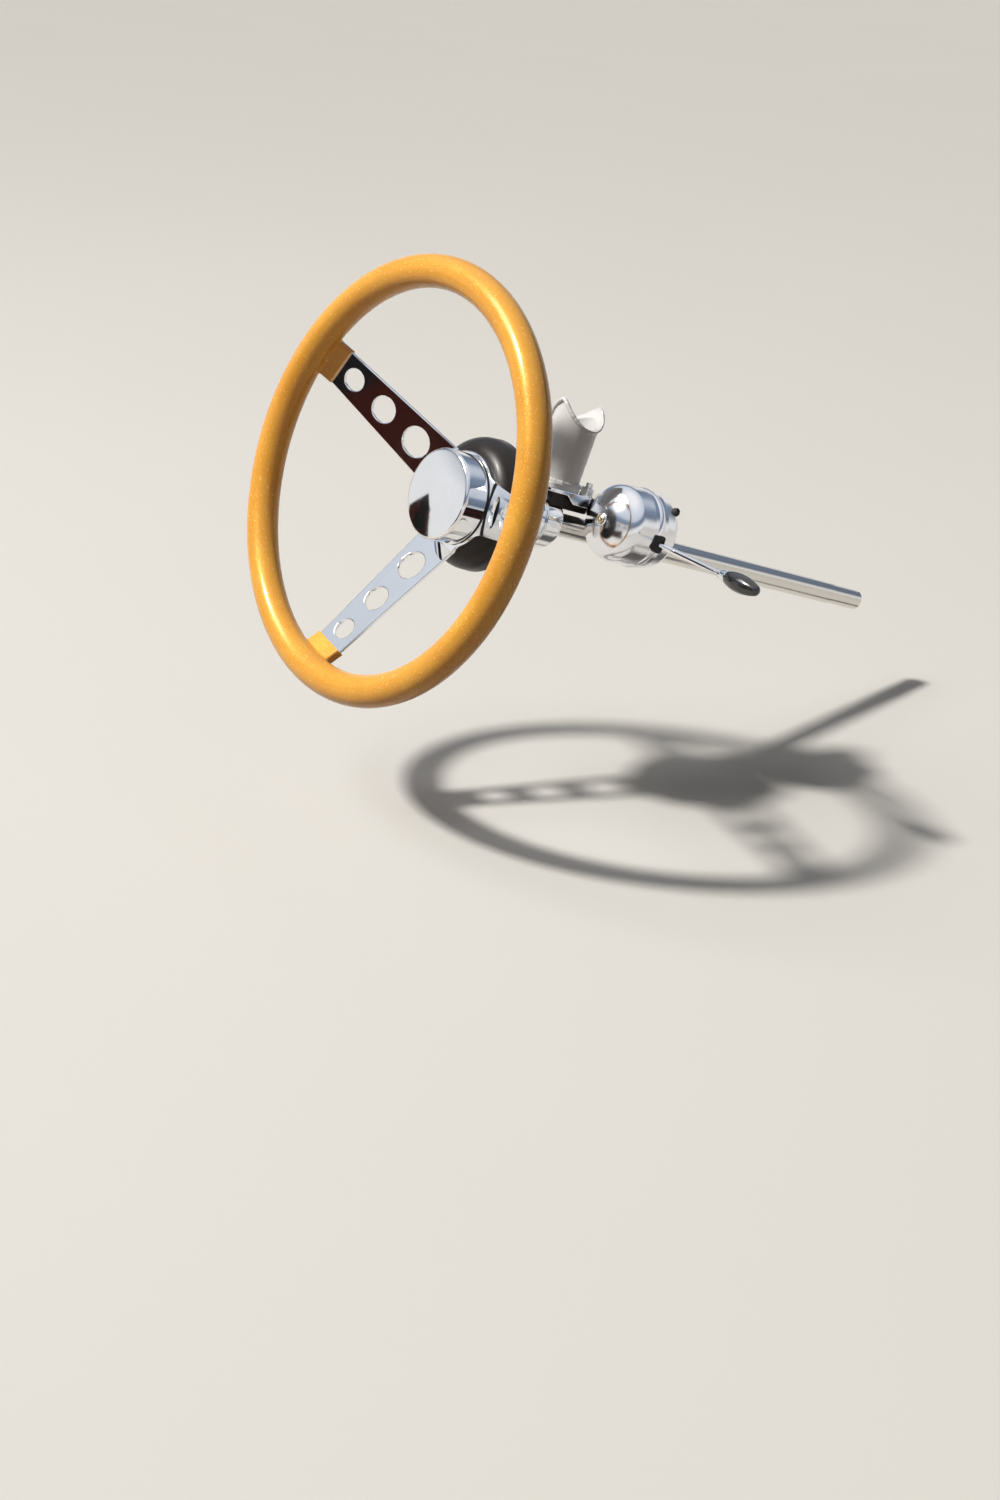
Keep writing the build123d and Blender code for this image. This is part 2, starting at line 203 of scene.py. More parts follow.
# Handling marks: a soft film of smudges, fine dust specks and hairline scratches
def buildHandlingGroup():
    group, given, out = newGroup(
        "handling marks",
        [
            ("Film Size", floatKind, 30.0), ("Film", floatKind, 0.5), ("Dust", floatKind, 0.3),
            ("Scratch Size", floatKind, 160.0),
        ],
        [("Film", floatKind), ("Dust", floatKind), ("Scratches", floatKind)],
    )
    link = group.links.new
    film = objectNode(group, "ShaderNodeTexNoise", Detail=5.0, Roughness=0.62, Distortion=0.6)
    link(given.outputs["Film Size"], film.inputs["Scale"])
    filmRange = rangeNode(group, film.outputs["Fac"], low=0.38, high=0.72)
    link(given.outputs["Film"], filmRange.inputs["To Max"])
    link(filmRange.outputs["Result"], out.inputs["Film"])
    specks = objectNode(group, "ShaderNodeTexNoise", Scale=900.0, Detail=2.0)
    speckRange = rangeNode(group, specks.outputs["Fac"], low=0.6, high=0.75)
    link(given.outputs["Dust"], speckRange.inputs["To Max"])
    link(speckRange.outputs["Result"], out.inputs["Dust"])
    drag = objectNode(group, "ShaderNodeMapping", Rotation=(0.4, 0.7, 0.2), Scale=(1.0, 0.06, 1.0))
    scratch = addNode(group, "ShaderNodeTexNoise", Detail=4.0, Roughness=0.7)
    link(drag.outputs[0], scratch.inputs["Vector"])
    link(given.outputs["Scratch Size"], scratch.inputs["Scale"])
    scratchRange = rangeNode(group, scratch.outputs["Fac"], low=0.58, high=0.66)
    link(scratchRange.outputs["Result"], out.inputs["Scratches"])
    return group


flakeGroup = buildFlakeGroup()
handlingGroup = buildHandlingGroup()


def newMaterial(name):
    material = bpy.data.materials.new(name)
    material.use_nodes = True
    tree = material.node_tree
    return material, tree, tree.nodes["Principled BSDF"]


def placeGroup(tree, group, **values):
    return addNode(tree, "ShaderNodeGroup", {"node_tree": group}, **values)


# Roughness that climbs from clean to smeared with a mask
def roughBetween(tree, mask, shader, clean, smeared):
    spread = addNode(tree, "ShaderNodeMapRange", To_Min=clean, To_Max=smeared)
    tree.links.new(mask, spread.inputs["Value"])
    tree.links.new(spread.outputs["Result"], shader.inputs["Roughness"])


def bumpFrom(tree, height, shader, strength, distance):
    bump = addNode(tree, "ShaderNodeBump", Strength=strength, Distance=distance)
    tree.links.new(height, bump.inputs["Height"])
    tree.links.new(bump.outputs["Normal"], shader.inputs["Normal"])


# Rim: amber resin over metal flakes, a few of them painted pale as painted glints
gripLook = {
    # sparkle size and share set the painted glints on the larger flakes
    "flakeSize": 3200.0, "paintedGlintSize": 1500.0, "paintedGlintShare": 0.024, "shimmer": 0.25, "tilt": 0.24,
    "body": (0.87, 0.41, 0.028), "flake": (1.0, 0.80, 0.26), "deep": (0.70, 0.23, 0.006),
    "metal": 0.10, "clean": 0.33, "smeared": 0.46, "filmSize": 22.0, "shine": 0.1,
    "coat": 0.5, "coatRough": 0.15, "coatIor": 1.52,
}


def makeGripMaterial(look):
    material, tree, shader = newMaterial("amber flake resin")
    flakes = placeGroup(
        tree, flakeGroup, Flake_Size=look["flakeSize"], Sparkle_Size=look["paintedGlintSize"],
        Sparkle_Share=look["paintedGlintShare"], Shimmer=look["shimmer"], Tilt=look["tilt"],
        Body_Color=(*look["body"], 1), Flake_Color=(*look["flake"], 1), Deep_Color=(*look["deep"], 1),
    )
    marks = placeGroup(tree, handlingGroup, Film_Size=look["filmSize"], Film=1.0)
    tree.links.new(flakes.outputs["Color"], shader.inputs["Base Color"])
    tree.links.new(flakes.outputs["Normal"], shader.inputs["Normal"])
    roughBetween(tree, marks.outputs["Film"], shader, look["clean"], look["smeared"])
    shader.inputs["Metallic"].default_value = look["metal"]
    shader.inputs["Specular IOR Level"].default_value = look["shine"]
    shader.inputs["Coat Weight"].default_value = look["coat"]
    shader.inputs["Coat Roughness"].default_value = look["coatRough"]
    shader.inputs["Coat IOR"].default_value = look["coatIor"]
    return material


# Plated and polished metal, dulled a little where it has been touched
plateMarks = {"dull": 0.94, "scratchSize": 180.0, "scratchStrength": 0.012, "scratchDepth": 0.0002}
plateLooks = {
    "chrome plate": {"tint": (0.88, 0.89, 0.91), "clean": 0.02, "smeared": 0.07, "filmSize": 22.0},
    "polished casting": {"tint": (0.86, 0.86, 0.89), "clean": 0.11, "smeared": 0.21, "filmSize": 40.0},
    "zinc plate": {"tint": (0.84, 0.83, 0.80), "clean": 0.20, "smeared": 0.38, "filmSize": 90.0},
    "yellow zinc plate": {"tint": (0.86, 0.74, 0.48), "clean": 0.14, "smeared": 0.30, "filmSize": 90.0},
}


def makePlateMaterial(name):
    look = plateLooks[name]
    material, tree, shader = newMaterial(name)
    marks = placeGroup(
        tree, handlingGroup, Film_Size=look["filmSize"], Film=1.0, Scratch_Size=plateMarks["scratchSize"],
    )
    dull = tuple(channel * plateMarks["dull"] for channel in look["tint"])
    tree.links.new(mixColors(tree, marks.outputs["Film"], look["tint"], dull), shader.inputs["Base Color"])
    roughBetween(tree, marks.outputs["Film"], shader, look["clean"], look["smeared"])
    shader.inputs["Metallic"].default_value = 1.0
    scratches = marks.outputs["Scratches"]
    bumpFrom(tree, scratches, shader, plateMarks["scratchStrength"], plateMarks["scratchDepth"])
    return material


# Paint, plastic and rubber, with specks of dust and a fine peel
enamelMarks = {
    "filmSize": 26.0, "dust": 0.6, "coatRough": 0.18, "peelSize": 420.0, "peelStrength": 0.06,
    "peelDepth": 0.0004,
}
enamelLooks = {
    "black enamel": {
        "color": (0.012, 0.009, 0.008), "dusty": (0.036, 0.030, 0.026), "clean": 0.34, "smeared": 0.48,
        "coat": 0.05, "shine": 0.28,
    },
    "black rubber": {
        "color": (0.018, 0.018, 0.018), "dusty": (0.06, 0.055, 0.05), "clean": 0.6, "smeared": 0.8,
        "coat": 0.0, "shine": 0.5,
    },
    "grey bracket paint": {
        "color": (0.70, 0.70, 0.70), "dusty": (0.60, 0.58, 0.55), "clean": 0.28, "smeared": 0.42,
        "coat": 0.5, "shine": 0.5,
    },
    "gloss black plastic": {
        "color": (0.014, 0.014, 0.015), "dusty": (0.04, 0.038, 0.036), "clean": 0.1, "smeared": 0.2,
        "coat": 0.8, "shine": 0.5,
    },
}


def makeEnamelMaterial(name):
    look = enamelLooks[name]
    material, tree, shader = newMaterial(name)
    marks = placeGroup(
        tree, handlingGroup, Film_Size=enamelMarks["filmSize"], Film=1.0, Dust=enamelMarks["dust"],
    )
    speckled = mixColors(tree, marks.outputs["Dust"], look["color"], look["dusty"])
    tree.links.new(speckled, shader.inputs["Base Color"])
    roughBetween(tree, marks.outputs["Film"], shader, look["clean"], look["smeared"])
    shader.inputs["Specular IOR Level"].default_value = look["shine"]
    shader.inputs["Coat Weight"].default_value = look["coat"]
    shader.inputs["Coat Roughness"].default_value = enamelMarks["coatRough"]
    peel = objectNode(tree, "ShaderNodeTexNoise", Scale=enamelMarks["peelSize"], Detail=1.5)
    bumpFrom(tree, peel.outputs["Fac"], shader, enamelMarks["peelStrength"], enamelMarks["peelDepth"])
    return material


# Turned metal, with fine lines round the shaft
turnMarks = {"lines": (14.0, 900.0, 14.0), "strength": 0.05, "depth": 0.0002}
turnedLooks = {
    "polished shaft steel": {
        "color": (0.78, 0.76, 0.73), "dark": (0.66, 0.63, 0.59), "clean": 0.07, "smeared": 0.16,
    },
    "bearing bronze": {
        "color": (0.62, 0.42, 0.19), "dark": (0.44, 0.28, 0.12), "clean": 0.26, "smeared": 0.42,
    },
}


def makeTurnedMaterial(name):
    look = turnedLooks[name]
    material, tree, shader = newMaterial(name)
    tilt = (math.asin(driverWay.z), 0, 0)
    aligned = objectNode(tree, "ShaderNodeMapping", Rotation=tilt, Scale=turnMarks["lines"])
    lines = addNode(tree, "ShaderNodeTexNoise", Scale=1.0, Detail=3.0)
    tree.links.new(aligned.outputs[0], lines.inputs["Vector"])
    lined = mixColors(tree, lines.outputs["Fac"], look["color"], look["dark"])
    tree.links.new(lined, shader.inputs["Base Color"])
    roughBetween(tree, lines.outputs["Fac"], shader, look["clean"], look["smeared"])
    shader.inputs["Metallic"].default_value = 1.0
    bumpFrom(tree, lines.outputs["Fac"], shader, turnMarks["strength"], turnMarks["depth"])
    return material


materials = {
    "amber_grip": makeGripMaterial(gripLook),
    "chrome": makePlateMaterial("chrome plate"),
    "black_enamel": makeEnamelMaterial("black enamel"),
    "black_seal": makeEnamelMaterial("black rubber"),
    "grey_paint": makeEnamelMaterial("grey bracket paint"),
    "polished_steel": makeTurnedMaterial("polished shaft steel"),
    "bronze": makeTurnedMaterial("bearing bronze"),
    "black_plastic": makeEnamelMaterial("gloss black plastic"),
}
castPolish = makePlateMaterial("polished casting")
zincPlate = makePlateMaterial("zinc plate")
yellowZinc = makePlateMaterial("yellow zinc plate")
print("materials made:", len(bpy.data.materials))

# Each node takes the material of its slot; the switch's chrome is a softer polish
slotOf = {piece["node"]: piece["material_slot"] for piece in frame["record"]["subparts"]}
for nodeName, node in frame["nodes"].items():
    node.data.materials.clear()
    node.data.materials.append(castPolish if nodeName.startswith("switch") else materials[slotOf[nodeName]])

# Fine rounded edges on the pressed and turned pieces, so that their edges catch light
edgeLook = {
    "widths": {
        "spoke_frame": 0.0008, "channel": 0.0006, "hanger_foot": 0.0008, "jacket": 0.0006,
        "jacket_band": 0.0004, "saddle": 0.0010, "lever_ferrule": 0.0003,
    },
    "steps": 3, "sharpAngle": 38, "flatAngle": 0.2, "seam": 0.00001,
}


def easeEdges(look):
    for nodeName, width in look["widths"].items():
        node = frame["nodes"][nodeName]
        weld = node.modifiers.new("join seams", "WELD")
        weld.merge_threshold = look["seam"]
        flats = node.modifiers.new("whole flats", "DECIMATE")
        flats.decimate_type = "DISSOLVE"
        flats.angle_limit = math.radians(look["flatAngle"])
        bevel = node.modifiers.new("edge", "BEVEL")
        bevel.width = width
        bevel.segments = look["steps"]
        bevel.limit_method = "ANGLE"
        bevel.angle_limit = math.radians(look["sharpAngle"])
        bevel.use_clamp_overlap = False
        weighted = node.modifiers.new("even shading", "WEIGHTED_NORMAL")
        weighted.keep_sharp = True


easeEdges(edgeLook)
print("edges eased on", len(edgeLook["widths"]), "nodes")


# Mesh helpers
def meshObject(name, mesh, body, material, angle=38):
    piece = bpy.data.objects.new(name, mesh)
    bpy.context.collection.objects.link(piece)
    mesh.materials.append(material)
    mesh.polygons.foreach_set("use_smooth", [True] * len(mesh.polygons))
    mesh.set_sharp_from_angle(angle=math.radians(angle))
    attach(piece, body)
    return piece


# Ends a mesh made in bmesh: all faces look outwards
def closedMesh(shape, mesh):
    bmesh.ops.recalc_face_normals(shape, faces=shape.faces)
    shape.to_mesh(mesh)
    shape.free()
    return mesh


def ringPoints(radius, height, steps):
    turns = [k * math.tau / steps for k in range(steps)]
    return [Vector((radius * math.cos(turn), radius * math.sin(turn), height)) for turn in turns]


def turnedRings(profile, steps):
    return [ringPoints(radius, height, steps) for radius, height in profile]


# Rings of points joined into a skin, closed by a face at each end or back onto the first ring
def skinRings(rings, matrix, closedLoop=False):
    shape = bmesh.new()
    rows = [[shape.verts.new(matrix @ point) for point in ring] for ring in rings]
    pairs = list(zip(rows, rows[1:]))
    if closedLoop:
        pairs.append((rows[-1], rows[0]))
    for low, high in pairs:
        count = len(low)
        for index in range(count):
            following = (index + 1) % count
            shape.faces.new((low[index], low[following], high[following], high[index]))
    if not closedLoop:
        shape.faces.new(list(reversed(rows[0])))
        shape.faces.new(rows[-1])
    return closedMesh(shape, bpy.data.meshes.new("skin"))


# Turned piece; a radius of zero closes an end in one point
def turnedMesh(profile, matrix, steps, closedLoop=False):
    shape = bmesh.new()
    rows = []
    for radius, height in profile:
        ring = ringPoints(radius, height, steps if radius else 1)
        rows.append([shape.verts.new(matrix @ point) for point in ring])
    pairs = list(zip(rows, rows[1:]))
    if closedLoop:
        pairs.append((rows[-1], rows[0]))
    for low, high in pairs:
        for k in range(steps):
            after = (k + 1) % steps
            corners = [
                low[k % len(low)], low[after % len(low)], high[after % len(high)], high[k % len(high)],
            ]
            shape.faces.new(list(dict.fromkeys(corners)))
    return closedMesh(shape, bpy.data.meshes.new("turned"))


def arcPoints(middle, radius, start, end, steps):
    turns = [math.radians(start + (end - start) * k / steps) for k in range(steps + 1)]
    return [(middle[0] + radius * math.cos(turn), middle[1] + radius * math.sin(turn)) for turn in turns]


# Shallow crown of a ball, from its top out to a radius
def crownPoints(radius, drop, top, steps):
    ball = (radius * radius + drop * drop) / (2 * drop)
    reaches = [radius * k / steps for k in range(steps + 1)]
    return [(reach, top - ball + math.sqrt(ball * ball - reach ** 2)) for reach in reaches]


# A nut or bolt head with its corners turned off top and bottom
def hexRings(acrossFlats, height, boreRadius):
    steps = 48
    cornersKept = 0.93
    chamfer = height * 0.14
    flat = acrossFlats / 2
    turned = flat / math.cos(math.pi / 6) * cornersKept
    wide = flat * 2

    def ring(level, limit):
        points = []
        for k in range(steps):
            angle = k * math.tau / steps
            local = (angle % (math.pi / 3)) - math.pi / 6
            radius = min(flat / math.cos(local), limit)
            points.append(Vector((radius * math.cos(angle), radius * math.sin(angle), level)))
        return points

    bore = [ringPoints(boreRadius, level, steps) for level in (0, height)]
    sides = [ring(0, turned), ring(chamfer, wide), ring(height - chamfer, wide), ring(height, turned)]
    return [bore[0], *sides, bore[1]]


# Outline of a threaded stud: root, crest and root again for each turn, then a blunt end
def threadProfile(radius, length, pitch):
    firstRoot, root, lastRoot, tip = radius * 0.86, radius * 0.88, radius * 0.9, radius * 0.6
    crestStart, crestEnd, rootStart = pitch * 0.25, pitch * 0.4, pitch * 0.85
    profile = [(firstRoot, 0.0)]
    level = 0.0
    while level < length - pitch:
        profile += [(radius, level + crestStart), (radius, level + crestEnd), (root, level + rootStart)]
        level += pitch
    return profile + [(lastRoot, length - pitch * 0.3), (tip, length)]


# Slotted head: a low dome with a straight cut across it
def slottedHead(profile, matrix, steps, slotHalf, slotDepth):
    mesh = turnedMesh(profile, Matrix(), steps)
    shape = bmesh.new()
    shape.from_mesh(mesh)
    for side in (-1, 1):
        everything = shape.verts[:] + shape.edges[:] + shape.faces[:]
        bmesh.ops.bisect_plane(shape, geom=everything, plane_co=(side * slotHalf, 0, 0), plane_no=(1, 0, 0))
    slotFaces = [
        face for face in shape.faces
        if abs(face.calc_center_median().x) < slotHalf and face.normal.z > 0.3
    ]
    pulled = bmesh.ops.extrude_face_region(shape, geom=slotFaces)["geom"]
    sunk = [item for item in pulled if isinstance(item, bmesh.types.BMVert)]
    bmesh.ops.translate(shape, verts=sunk, vec=(0, 0, -slotDepth))
    bmesh.ops.delete(shape, geom=slotFaces, context="FACES")
    shape.transform(matrix)
    return closedMesh(shape, mesh)


# Weld bead along a closed path of (point, way out) pairs, laid down in overlapping ripples
def beadMesh(path, look, keepOut=None):
    rings = []
    count = len(path)
    for index, (point, outward) in enumerate(path):
        along = (path[(index + 1) % count][0] - path[index - 1][0]).normalized()
        side = along.cross(outward).normalized()
        ripple = (index * look["ripples"] / count) % 1.0
        uneven = noise.noise(point * look["unevenSize"]) * look["uneven"]
        radius = look["radius"] * (1.0 + look["rippleDepth"] * (0.5 - ripple) + uneven)
        ring = []
        for k in range(look["sides"]):
            turn = k * math.tau / look["sides"]
            place = point + (outward * math.cos(turn) + side * math.sin(turn)) * radius
            ring.append(keepOut(place) if keepOut else place)
        rings.append(ring)
    return skinRings(rings, Matrix(), closedLoop=True)


# Horn cap: the same cup as in the frame, turned finely so that its mirror face stays even
capLook = {
    "radius": 0.0358, "top": 0.025185, "dome": 0.0012, "shoulder": 0.0024, "wall": 0.0016, "foot": 0.004585,
    "footEase": 0.0004, "domeEdge": 88, "domeSteps": 14, "bendSteps": 12, "innerSteps": 4, "steps": 160,
}


def buildHornCap(look):
    radius, top, dome, shoulder = look["radius"], look["top"], look["dome"], look["shoulder"]
    face = radius - shoulder
    bend = (face, top - shoulder)
    inner = radius - look["wall"]
    profile = crownPoints(face, dome, top + dome, look["domeSteps"])[:-1]
    profile += arcPoints(bend, shoulder, look["domeEdge"], 0, look["bendSteps"])
    profile += [(radius, top - shoulder - (top - look["foot"]) * part) for part in (0.1, 0.5)]
    profile += [(radius, look["foot"] + look["footEase"]), (radius - look["footEase"], look["foot"])]
    profile += [(inner, look["foot"]), (inner, bend[1])]
    profile += arcPoints(bend, shoulder - look["wall"], 0, look["domeEdge"], look["innerSteps"])
    under = crownPoints(face, dome, top + dome - look["wall"], look["innerSteps"])
    profile += list(reversed(under))[1:]
    mesh = turnedMesh(profile, standing(discMiddle, driverWay), look["steps"])
    cap = meshObject("hornCapTurned", mesh, "wheel", materials["chrome"])
    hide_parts("horn_cap")


buildHornCap(capLook)

# Five bolts and the shaft nut that hold the wheel on its hub, under the cap
wheelBolts = {
    "count": 5, "circle": 0.026, "discFront": 0.003385, "head": 0.0044, "height": 0.0030, "socket": 0.0022,
    "depth": 0.0018, "steps": 24, "nutFlats": 0.0286, "nutHeight": 0.0065, "shaft": 0.00955,
}


def buildWheelBolts(look):
    lip = look["head"] * 0.12
    socketFloor = look["height"] - look["depth"]
    profile = [
        (look["head"], 0), (look["head"], look["height"] - lip), (look["head"] - lip, look["height"]),
        (look["socket"], look["height"]), (look["socket"], socketFloor), (0, socketFloor),
    ]
    for number in range(look["count"]):
        turn = number * math.tau / look["count"]
        across, rise = look["circle"] * math.cos(turn), look["circle"] * math.sin(turn)
        foot = columnPoint(across, rise, look["discFront"])
        mesh = turnedMesh(profile, standing(foot, driverWay), look["steps"])
        meshObject(f"wheelBolt{number + 1}", mesh, "wheel", zincPlate, angle=30)
    foot = columnPoint(0, 0, look["discFront"])
    nut = hexRings(look["nutFlats"], look["nutHeight"], look["shaft"])
    nutMesh = skinRings(nut, standing(foot, driverWay), closedLoop=True)
    meshObject("shaftNut", nutMesh, "wheel", zincPlate, angle=25)


buildWheelBolts(wheelBolts)

# Thrust washers and retaining rings that keep the shaft from sliding in its jacket
thrustLook = {
    "front": -0.0445, "back": -0.0905, "gap": 0.0004, "washer": 0.0150, "washerThick": 0.0015,
    "ring": 0.0117, "ringThick": 0.0012, "bore": 0.00956, "ease": 0.0002, "steps": 64,
}


def buildThrustRings(look):
    bore, ease = look["bore"], look["ease"]
    stack = [("Washer", look["washer"], look["washerThick"]), ("Ring", look["ring"], look["ringThick"])]
    for label, place, way in (("Front", look["front"], driverWay), ("Back", look["back"], -driverWay)):
        level = look["gap"]
        for kind, radius, thick in stack:
            profile = [
                (bore, level), (radius - ease, level), (radius, level + ease),
                (radius, level + thick - ease), (radius - ease, level + thick), (bore, level + thick),
            ]
            matrix = standing(columnPoint(0, 0, place), way)
            mesh = turnedMesh(profile, matrix, look["steps"], closedLoop=True)
            meshObject("thrust" + kind + label, mesh, "wheel", zincPlate)
            level += thick


buildThrustRings(thrustLook)

# Nuts that hold the bracket, on studs from the saddle under it
mountNut = {
    "flats": 0.010, "height": 0.0058, "bore": 0.0030, "washer": 0.0055, "washerThick": 0.0010,
    "stud": 0.0108, "pitch": 0.001, "webTop": 0.030, "across": 0.0178, "place": -0.1056, "turn": 0.3,
    "washerSteps": 40, "studSteps": 28,
}


def buildMountNuts(look):
    bore, wide, thick = look["bore"], look["washer"], look["washerThick"]
    eased, studRadius = wide * 0.97, bore * 0.99
    washerProfile = [(bore, 0), (eased, 0), (wide, thick * 0.4), (eased, thick), (bore, thick)]
    for side, label in ((1, "Right"), (-1, "Left")):
        foot = columnPoint(side * look["across"], look["webTop"], look["place"])
        matrix = standing(foot, liftWay, look["turn"] * side)
        washer = skinRings(turnedRings(washerProfile, look["washerSteps"]), matrix, closedLoop=True)
        meshObject(f"mount{label}Washer", washer, "column", zincPlate)
        nutMatrix = matrix @ Matrix.Translation((0, 0, thick))
        nut = skinRings(hexRings(look["flats"], look["height"], bore), nutMatrix, closedLoop=True)
        meshObject(f"mount{label}Nut", nut, "column", zincPlate, angle=25)
        thread = threadProfile(studRadius, look["stud"], look["pitch"])
        stud = skinRings(turnedRings(thread, look["studSteps"]), matrix)
        meshObject(f"mount{label}Stud", stud, "column", zincPlate)


buildMountNuts(mountNut)

# Screw with a cup washer in the middle of the switch's dome
switchScrew = {
    "across": 0.047, "up": 0.0193, "top": -0.1025, "turn": 0.9, "washer": 0.0054, "head": 0.0036,
    "headDome": 0.0011, "headTop": 0.0018, "domeSteps": 8, "slotHalf": 0.00045, "slotDepth": 0.0008,
    "steps": 48,
    # share of the washer's or the head's radius, and height
    "cup": [
        (0.60, -0.0003), (1.0, -0.0004), (1.0, -0.0001), (0.96, 0.0004), (0.86, 0.0008), (0.76, 0.0009),
        (0.68, 0.0006), (0.62, 0.0001),
    ],
    "underHead": [(0.97, 0.0002), (0.9, -0.0003)],
}


def buildSwitchScrew(look):
    matrix = standing(columnPoint(look["across"], look["up"], look["top"]), driverWay, look["turn"])
    cup = [(look["washer"] * share, height) for share, height in look["cup"]]
    washer = turnedMesh(cup, matrix, look["steps"], closedLoop=True)
    meshObject("switchWasher", washer, "column", materials["chrome"])
    head = crownPoints(look["head"], look["headDome"], look["headTop"], look["domeSteps"])
    head += [(look["head"] * share, height) for share, height in look["underHead"]]
    screw = slottedHead(head, matrix, look["steps"], look["slotHalf"], look["slotDepth"])
    meshObject("switchScrew", screw, "column", yellowZinc, angle=30)


buildSwitchScrew(switchScrew)

# Rubber bush where the switch's wires leave its rear cup
wireBush = {
    "across": 0.0669, "up": 0.0423, "place": -0.1585, "radius": 0.0027, "proud": 0.0024, "sunk": 0.002,
    "lip": 0.0006, "neck": 0.0009, "steps": 40,
}


def buildWireBush(look):
    point = columnPoint(look["across"], look["up"], look["place"])
    middle = columnPoint(switchScrew["across"], switchScrew["up"], look["place"])
    radius, proud, sunk = look["radius"], look["proud"], -look["sunk"]
    profile = [
        (radius * 0.5, sunk), (radius * 1.25, sunk), (radius * 1.3, 0.0), (radius * 1.22, look["lip"]),
        (radius, look["neck"]), (radius * 0.92, proud * 0.7), (radius * 0.78, proud),
        (radius * 0.55, proud), (radius * 0.45, proud * 0.6),
    ]
    mesh = turnedMesh(profile, standing(point, point - middle), look["steps"], closedLoop=True)
    meshObject("wireBush", mesh, "column", materials["black_seal"], angle=50)


buildWireBush(wireBush)

# Rubber grommet: a rounded pad in the ring's slot with a soft collar round the lever's rod
grommetLook = {
    "start": 0.074, "up": 0.0155, "place": -0.1395, "halfWide": 0.0035, "halfHigh": 0.0070, "corner": 0.0020,
    "length": 0.009, "ease": 0.0014, "easeStep": 15, "collar": 0.0036, "rod": 0.0025, "perCorner": 9,
    "dish": (0.9, 0.72, 0.0002),  # shares of its width and height, and depth
}


def roundedOutline(halfWide, halfHigh, corner, level, perCorner):
    points = []
    for quarter, (side, rise) in enumerate(((1, 1), (-1, 1), (-1, -1), (1, -1))):
        middle = (side * (halfWide - corner), rise * (halfHigh - corner))
        for k in range(perCorner):
            turn = math.tau * (quarter + k / (perCorner - 1)) / 4
            across, along = corner * math.cos(turn), corner * math.sin(turn)
            points.append(Vector((middle[0] + across, middle[1] + along, level)))
    return points


def buildGrommet(look):
    basis = Matrix((driverWay, -liftWay, rightWay)).transposed().to_4x4()
    matrix = Matrix.Translation(columnPoint(look["start"], look["up"], look["place"])) @ basis
    wide, high, corner, ease = look["halfWide"], look["halfHigh"], look["corner"], look["ease"]
    top, perCorner = look["length"], look["perCorner"]
    rings = [roundedOutline(wide, high, corner, 0.0, perCorner)]
    for degrees in range(0, 91, look["easeStep"]):
        turn = math.radians(degrees)
        inset = ease * (1 - math.cos(turn))
        level = top - ease * (1 - math.sin(turn))
        tighter = corner - inset * 0.4
        rings.append(roundedOutline(wide - inset, high - inset, tighter, level, perCorner))
    flat = rings[-1]

    def circled(radius, level):
        reaches = [(point, math.hypot(point.x, point.y)) for point in flat]
        return [Vector((radius * p.x / reach, radius * p.y / reach, level)) for p, reach in reaches]

    acrossDish, alongDish, dishDepth = look["dish"]
    rings.append([Vector((p.x * acrossDish, p.y * alongDish, top - dishDepth)) for p in flat])
    rings += [circled(look["collar"] * 0.92, top - 0.0007), circled(look["collar"] * 0.80, top - 0.0002)]
    rings += [circled(look["rod"] * 1.02, top - 0.0004), circled(look["rod"], 0.0)]
    mesh = skinRings(rings, matrix, closedLoop=True)
    grommet = meshObject("leverGrommetSoft", mesh, "column", materials["black_seal"], angle=60)
    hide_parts("lever_grommet")


buildGrommet(grommetLook)

# Weld beads round the hanger tube's foot and along its coped end, kept clear of the mount's space
weldLook = {
    "radius": 0.0019, "ripples": 44, "rippleDepth": 0.12, "uneven": 0.22, "unevenSize": 260.0, "sides": 12,
    "points": 460, "tube": 0.01905, "tubePlace": -0.0855, "footTop": 0.034, "barUp": 0.0995, "out": 0.0007,
    "tipRound": 0.003, "barClear": 0.0001,
}


def buildWelds(look):
    tube = look["tube"] + look["out"]
    barReach = look["tube"] + look["barClear"]
    footPath, copePath = [], []
    for k in range(look["points"]):
        turn = k * math.tau / look["points"]
        across, along = tube * math.cos(turn), tube * math.sin(turn)
        outward = (rightWay * math.cos(turn) + driverWay * math.sin(turn)).normalized()
        foot = columnPoint(across, look["footTop"] + look["out"], look["tubePlace"] + along)
        footPath.append((foot, (outward + liftWay).normalized()))
        drop = math.sqrt(across * across + look["tipRound"] ** 2)
        cope = columnPoint(across, look["barUp"] - drop, look["tubePlace"] + along)
        copePath.append((cope, outward))

    # the mount's axis runs along X through the origin
    def offTheBar(place):
        flat = Vector((0, place.y, place.z))
        if flat.length > barReach:
            return place
        return Vector((place.x, 0, 0)) + flat.normalized() * barReach

    for name, path, keepOut in (("hangerFootWeld", footPath, None), ("hangerCopeWeld", copePath, offTheBar)):
        mesh = beadMesh(path, look, keepOut)
        meshObject(name, mesh, "column", materials["grey_paint"], angle=60)


buildWelds(weldLook)
print("fasteners and welds done")

# Floor and world: pale to the camera and in mirrors, dimmer as light on the object
stageLook = {
    "floorDrop": 0.075, "floorHalf": 40.0, "floorColor": (0.70, 0.69, 0.67), "floorPatch": 0.97,
    "patchSize": 2.2, "floorBounce": (0.13, 0.095, 0.07), "floorRough": 0.75, "floorShine": 0.2,
    "worldColor": (1.0, 0.99, 0.97), "worldLight": 0.10, "backdrop": (0.69, 0.665, 0.635),
    # what mirrors see, from straight down to straight up
    "walls": [
        (0.0, (0.86, 0.855, 0.84)), (0.16, (0.84, 0.845, 0.85)), (0.30, (0.16, 0.20, 0.27)),
        (0.44, (0.20, 0.26, 0.36)), (0.54, (0.62, 0.67, 0.74)), (0.75, (0.74, 0.78, 0.84)),
        (1.0, (1.0, 1.0, 1.0)),
    ],
}


